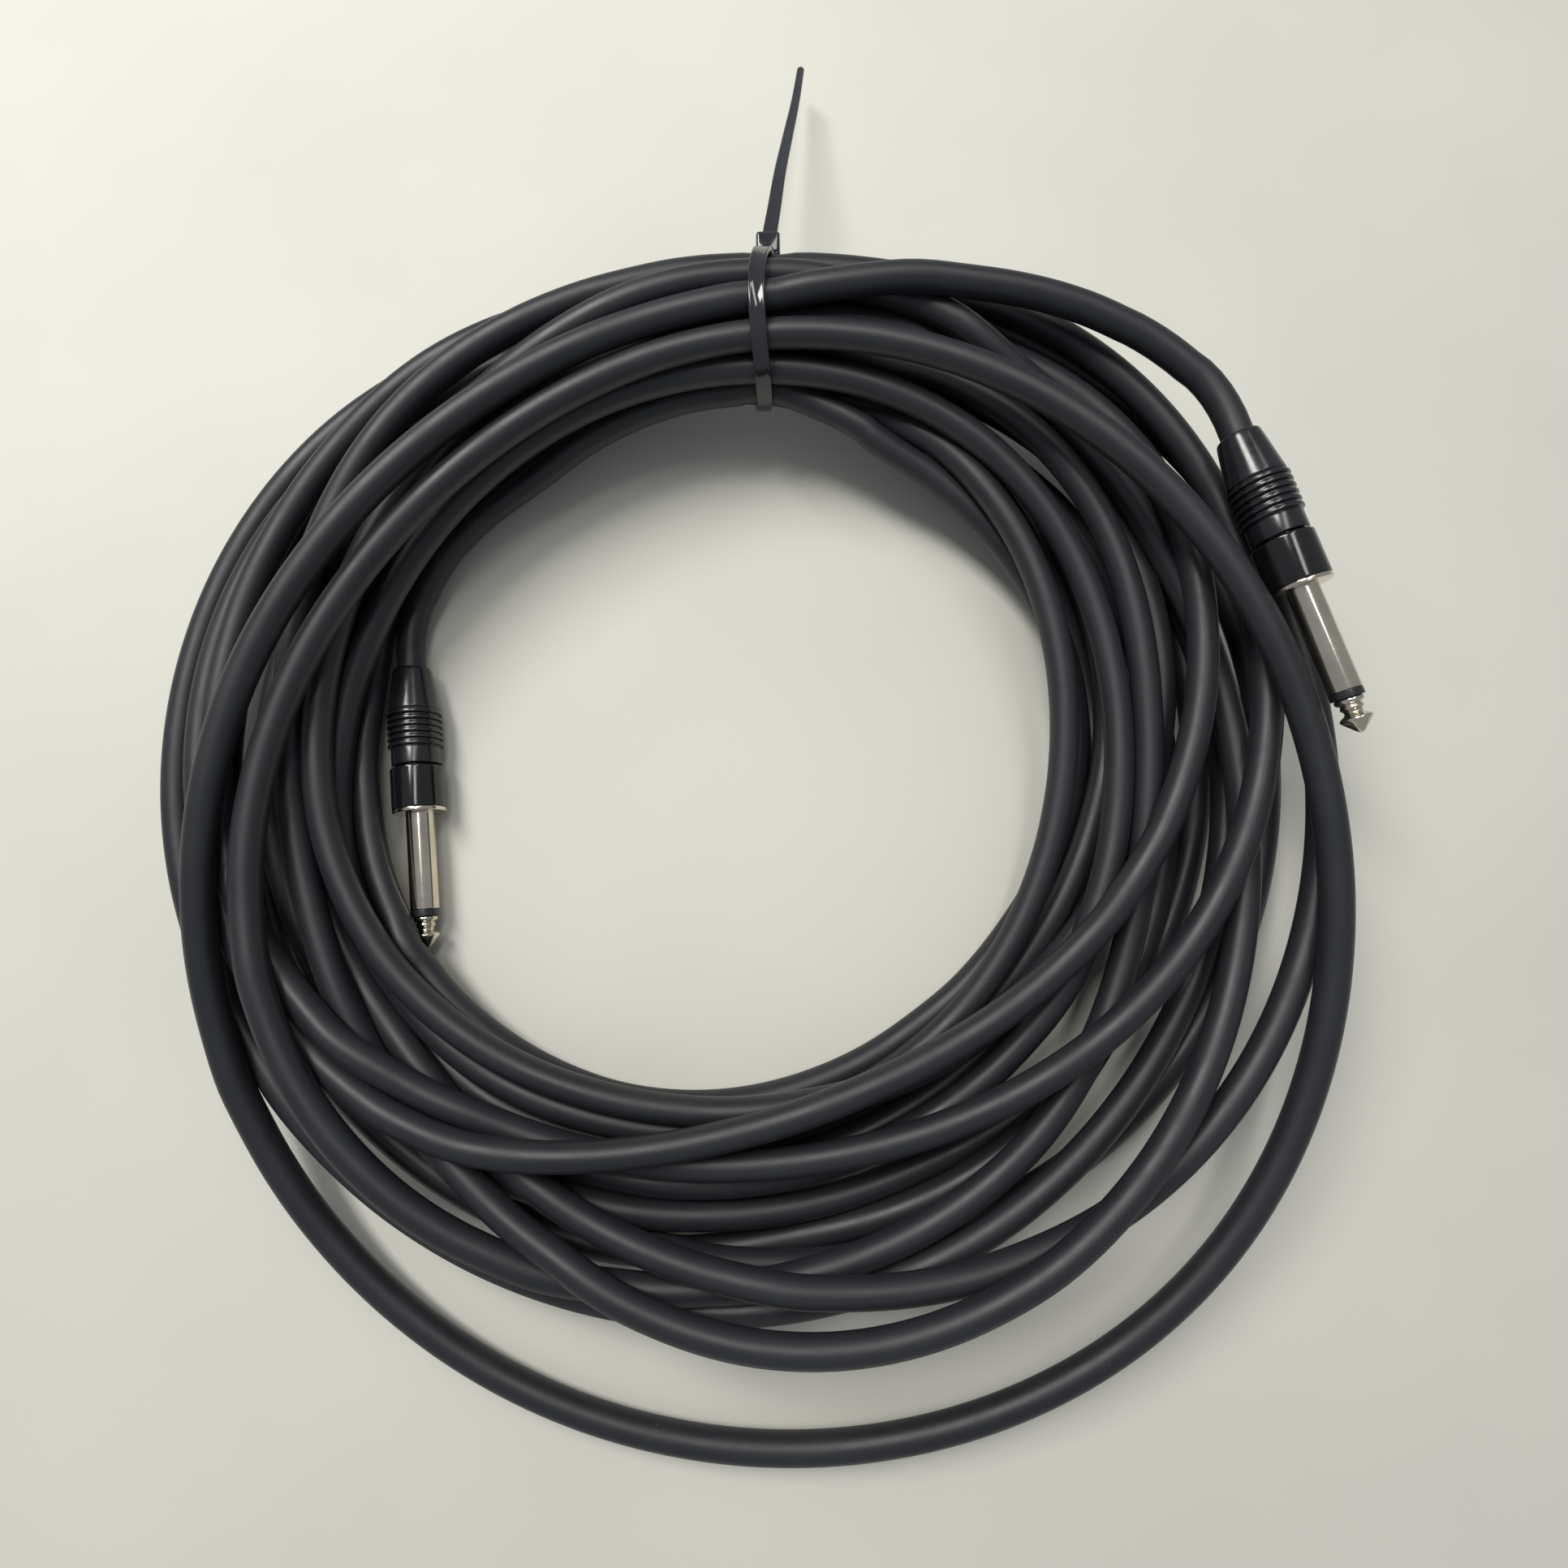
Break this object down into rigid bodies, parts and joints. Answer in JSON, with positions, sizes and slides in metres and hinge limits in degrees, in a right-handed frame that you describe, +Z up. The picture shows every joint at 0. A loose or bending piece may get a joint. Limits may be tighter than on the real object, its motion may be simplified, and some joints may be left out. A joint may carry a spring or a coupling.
{
  "type": "instrument cable",
  "caption": "Coiled black instrument lead held by a cable tie, with a straight 6.35 mm mono phone plug on each end; the plugs' boot nuts unscrew.",
  "frame": {"origin": "bottom centre of the whole part's box, on the surface that the coil lies on", "axes": "+Z up, through the flat coil; +Y from the coil's centre towards the cable tie's tail; +X to the right, towards the plug that lies outside the coil"},
  "size_m": [0.262, 0.3424, 0.0442],
  "materials": {
    "jacket": "satin black PVC",
    "nickel": "polished nickel plate",
    "ring_plastic": "smooth black",
    "shell_gloss": "gloss black",
    "boot_plastic": "satin moulded black",
    "chuck_plastic": "moulded grey",
    "insulator_plastic": "ivory",
    "washer_board": "brown board",
    "tag_metal": "tinned",
    "core_insulation": "white",
    "copper": "bare copper",
    "solder_metal": "bright solder",
    "tie_nylon": "black nylon"
  },
  "bodies": {
    "root": {"cable_coil": "jacket", "outer_loop": "jacket", "lead_a": "jacket", "lead_b": "jacket", "cable_tie": "tie_nylon", "tip_a": "nickel", "tip_ring_a": "ring_plastic", "sleeve_a": "nickel", "core_insulator_a": "insulator_plastic", "rear_washer_a": "washer_board", "tip_terminal_a": "tag_metal", "ground_terminal_a": "tag_metal", "front_shell_a": "shell_gloss", "core_wire_a": "core_insulation", "core_conductor_a": "copper", "shield_pigtail_a": "copper", "solder_a": "solder_metal", "cable_end_a": "jacket", "tip_b": "nickel", "tip_ring_b": "ring_plastic", "sleeve_b": "nickel", "core_insulator_b": "insulator_plastic", "rear_washer_b": "washer_board", "tip_terminal_b": "tag_metal", "ground_terminal_b": "tag_metal", "front_shell_b": "shell_gloss", "core_wire_b": "core_insulation", "core_conductor_b": "copper", "shield_pigtail_b": "copper", "solder_b": "solder_metal", "cable_end_b": "jacket"},
    "chuck_a": {"chuck_a": "chuck_plastic"},
    "boot_a": {"boot_a": "boot_plastic"},
    "chuck_b": {"chuck_b": "chuck_plastic"},
    "boot_b": {"boot_b": "boot_plastic"}
  },
  "joints": [
    {"name": "nut_a_travel", "type": "slide", "parent": "root", "child": "chuck_a", "axis": [-0.2924, 0.9563, 0], "range_m": [0, 0.005]},
    {"name": "nut_a_turn", "type": "hinge", "parent": "chuck_a", "child": "boot_a", "pos_m": [0.11315, 0.03005, 0.038], "axis": [-0.2924, 0.9563, 0], "range_deg": [0, 1800]},
    {"name": "nut_b_travel", "type": "slide", "parent": "root", "child": "chuck_b", "axis": [-0.1219, 0.9925, 0], "range_m": [0, 0.005]},
    {"name": "nut_b_turn", "type": "hinge", "parent": "chuck_b", "child": "boot_b", "pos_m": [-0.07684, -0.01223, 0.0062], "axis": [-0.1219, 0.9925, 0], "range_deg": [0, 1800]}
  ],
  "couplings": [
    {"joint": "nut_a_turn", "follows": "nut_a_travel", "rad_per_m": 6283.2},
    {"joint": "nut_b_turn", "follows": "nut_b_travel", "rad_per_m": 6283.2}
  ]
}
